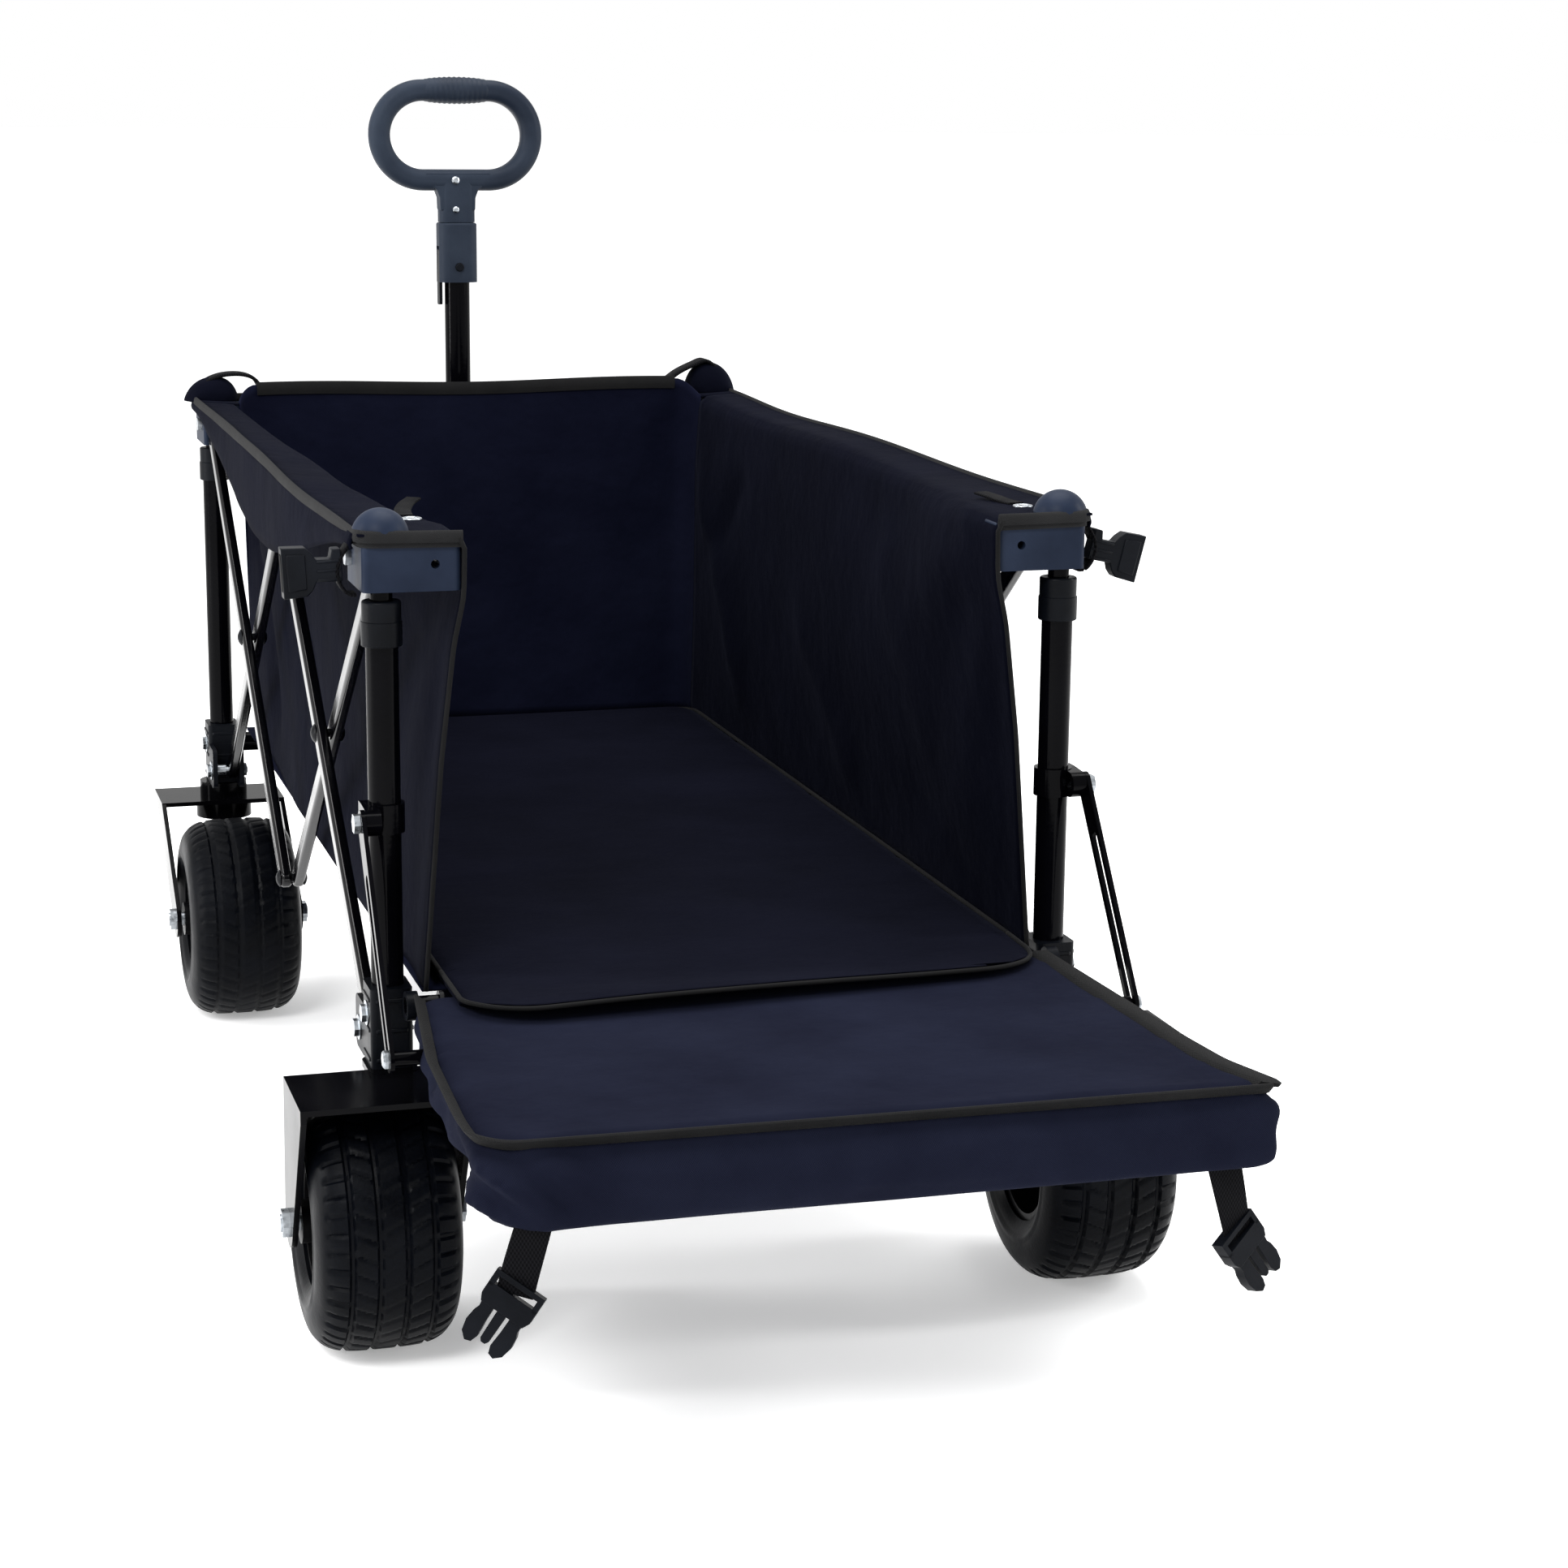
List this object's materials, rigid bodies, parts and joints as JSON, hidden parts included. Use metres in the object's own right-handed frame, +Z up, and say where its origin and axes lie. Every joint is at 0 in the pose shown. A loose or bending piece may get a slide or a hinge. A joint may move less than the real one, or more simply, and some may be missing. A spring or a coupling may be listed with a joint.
{
  "type": "folding utility wagon",
  "caption": "Folding wagon on wide wheels with a fabric tub, a drop-down tailgate held by slotted stays, and a telescopic pull handle.",
  "frame": {"origin": "on the ground, under the middle of the wagon's box with its tailgate open and its handle up", "axes": "+X to the right, +Y forward to the pull handle, +Z up"},
  "size_m": [0.64, 1.371, 0.848],
  "materials": {
    "powder_coat": "gloss",
    "zinc": "satin",
    "slate_plastic": "satin",
    "cloth": "woven",
    "webbing": "woven",
    "tyre": "matt",
    "rim": "satin"
  },
  "bodies": {
    "front_frame": {"front_posts": "powder_coat", "front_post_collars": "slate_plastic", "front_lower_brackets": "slate_plastic", "front_cross_tube": "powder_coat", "handle_yoke": "slate_plastic", "front_lower_bolts": "zinc"},
    "front_inner_scissor": {"front_inner_arms": "powder_coat", "front_inner_rivets": "zinc"},
    "front_outer_scissor": {"front_outer_arms": "powder_coat", "front_outer_rivets": "zinc"},
    "front_top": {"front_inner_posts": "powder_coat", "front_top_brackets": "slate_plastic", "front_dome_caps": "slate_plastic", "front_top_tube": "powder_coat", "front_upper_bolts": "zinc", "tub_front_wall": "cloth", "tub_side_walls": "cloth", "tub_floor": "cloth", "floor_mat": "cloth"},
    "rear_outer_scissor": {"rear_outer_arms": "powder_coat", "rear_outer_rivets": "zinc"},
    "rear_frame": {"rear_posts": "powder_coat", "rear_post_collars": "slate_plastic", "rear_lower_brackets": "slate_plastic", "hinge_tube": "powder_coat", "rear_forks": "powder_coat", "rear_axles": "zinc", "stay_clamps": "powder_coat", "rear_lower_bolts": "zinc"},
    "rear_inner_scissor": {"rear_inner_arms": "powder_coat"},
    "rear_top": {"rear_inner_posts": "powder_coat", "rear_top_brackets": "slate_plastic", "rear_dome_caps": "slate_plastic", "rear_upper_bolts": "zinc", "female_buckles": "slate_plastic"},
    "caster_left": {"caster_fork_left": "powder_coat", "front_axle_left": "zinc"},
    "caster_right": {"caster_fork_right": "powder_coat", "front_axle_right": "zinc"},
    "front_wheel_left": {"front_tyre_left": "tyre", "front_rim_left": "rim"},
    "front_wheel_right": {"front_tyre_right": "tyre", "front_rim_right": "rim"},
    "rear_wheel_left": {"rear_tyre_left": "tyre", "rear_rim_left": "rim"},
    "rear_wheel_right": {"rear_tyre_right": "tyre", "rear_rim_right": "rim"},
    "tailgate": {"tailgate_frame": "powder_coat", "tailgate_pad": "cloth", "mat_flap": "cloth"},
    "stays": {"stay_bars": "powder_coat"},
    "strap_left": {"buckle_strap_left": "webbing"},
    "strap_right": {"buckle_strap_right": "webbing"},
    "handle": {"handle_tube": "powder_coat", "handle_collar": "slate_plastic"},
    "handle_extension": {"handle_inner_tube": "powder_coat", "handle_grip": "slate_plastic"},
    "button": {"handle_button": "slate_plastic"},
    "lever": {"handle_lever": "slate_plastic"}
  },
  "joints": [
    {"name": "fold", "type": "hinge", "parent": "front_frame", "child": "front_inner_scissor", "pos_m": [0, 0.5985, 0.206], "axis": [-1, 0, 0], "range_deg": [0, 30], "deforming": ["tub_front_wall", "tub_side_walls", "tub_floor", "floor_mat"]},
    {"name": "front_cross", "type": "hinge", "parent": "front_inner_scissor", "child": "front_outer_scissor", "pos_m": [0, 0.3805, 0.37], "axis": [1, 0, 0], "range_deg": [0, 60]},
    {"name": "front_top_pivot", "type": "hinge", "parent": "front_outer_scissor", "child": "front_top", "pos_m": [0, 0.5985, 0.534], "axis": [-1, 0, 0], "range_deg": [0, 30]},
    {"name": "middle_pivot", "type": "hinge", "parent": "front_inner_scissor", "child": "rear_outer_scissor", "pos_m": [0, 0.1625, 0.534], "axis": [1, 0, 0], "range_deg": [0, 60]},
    {"name": "rear_low_pivot", "type": "hinge", "parent": "rear_outer_scissor", "child": "rear_frame", "pos_m": [0, -0.2735, 0.206], "axis": [-1, 0, 0], "range_deg": [0, 30]},
    {"name": "rear_cross", "type": "hinge", "parent": "rear_outer_scissor", "child": "rear_inner_scissor", "pos_m": [0, -0.0555, 0.37], "axis": [-1, 0, 0], "range_deg": [0, 60]},
    {"name": "rear_top_pivot", "type": "hinge", "parent": "rear_inner_scissor", "child": "rear_top", "pos_m": [0, -0.2735, 0.534], "axis": [1, 0, 0], "range_deg": [0, 30]},
    {"name": "tailgate_hinge", "type": "hinge", "parent": "rear_frame", "child": "tailgate", "pos_m": [0, -0.3395, 0.238], "axis": [-1, 0, 0], "range_deg": [0, 90]},
    {"name": "stay_pivot", "type": "hinge", "parent": "rear_frame", "child": "stays", "pos_m": [0, -0.3245, 0.362], "axis": [-1, 0, 0], "range_deg": [-4.5, 0]},
    {"name": "caster_left_swivel", "type": "hinge", "parent": "front_frame", "child": "caster_left", "pos_m": [-0.24, 0.6325, 0.17], "axis": [0, 0, 1], "continuous": true},
    {"name": "caster_right_swivel", "type": "hinge", "parent": "front_frame", "child": "caster_right", "pos_m": [0.24, 0.6325, 0.17], "axis": [0, 0, 1], "continuous": true},
    {"name": "front_wheel_left_spin", "type": "hinge", "parent": "caster_left", "child": "front_wheel_left", "pos_m": [-0.245, 0.4965, 0.09], "axis": [1, 0, 0], "continuous": true},
    {"name": "front_wheel_right_spin", "type": "hinge", "parent": "caster_right", "child": "front_wheel_right", "pos_m": [0.245, 0.4965, 0.09], "axis": [1, 0, 0], "continuous": true},
    {"name": "rear_wheel_left_spin", "type": "hinge", "parent": "rear_frame", "child": "rear_wheel_left", "pos_m": [-0.2565, -0.3325, 0.09], "axis": [1, 0, 0], "continuous": true},
    {"name": "rear_wheel_right_spin", "type": "hinge", "parent": "rear_frame", "child": "rear_wheel_right", "pos_m": [0.2565, -0.3325, 0.09], "axis": [1, 0, 0], "continuous": true},
    {"name": "strap_left_swing", "type": "hinge", "parent": "tailgate", "child": "strap_left", "pos_m": [-0.217, -0.6695, 0.194], "axis": [1, 0, 0], "range_deg": [-80, 80]},
    {"name": "strap_right_swing", "type": "hinge", "parent": "tailgate", "child": "strap_right", "pos_m": [0.217, -0.6695, 0.194], "axis": [1, 0, 0], "range_deg": [-80, 80]},
    {"name": "handle_tilt", "type": "hinge", "parent": "front_frame", "child": "handle", "pos_m": [0, 0.6705, 0.226], "axis": [-1, 0, 0], "range_deg": [0, 85]},
    {"name": "handle_slide", "type": "slide", "parent": "handle", "child": "handle_extension", "axis": [0, 0, 1], "range_m": [0, 0.3]},
    {"name": "button_press", "type": "slide", "parent": "handle", "child": "button", "axis": [0, 1, 0], "range_m": [0, 0.002], "stiffness_N_per_m": 400},
    {"name": "lever_pull", "type": "hinge", "parent": "handle", "child": "lever", "pos_m": [-0.0167, 0.6705, 0.686], "axis": [0, 1, 0], "range_deg": [0, 15], "stiffness_Nm_per_rad": 0.05}
  ],
  "couplings": [
    {"joint": "front_cross", "follows": "fold", "ratio": 2},
    {"joint": "front_top_pivot", "follows": "fold", "ratio": 1},
    {"joint": "middle_pivot", "follows": "fold", "ratio": 2},
    {"joint": "rear_low_pivot", "follows": "fold", "ratio": 1},
    {"joint": "rear_cross", "follows": "fold", "ratio": 2},
    {"joint": "rear_top_pivot", "follows": "fold", "ratio": 1},
    {"joint": "stay_pivot", "follows": "tailgate_hinge", "ratio": -0.0496}
  ]
}
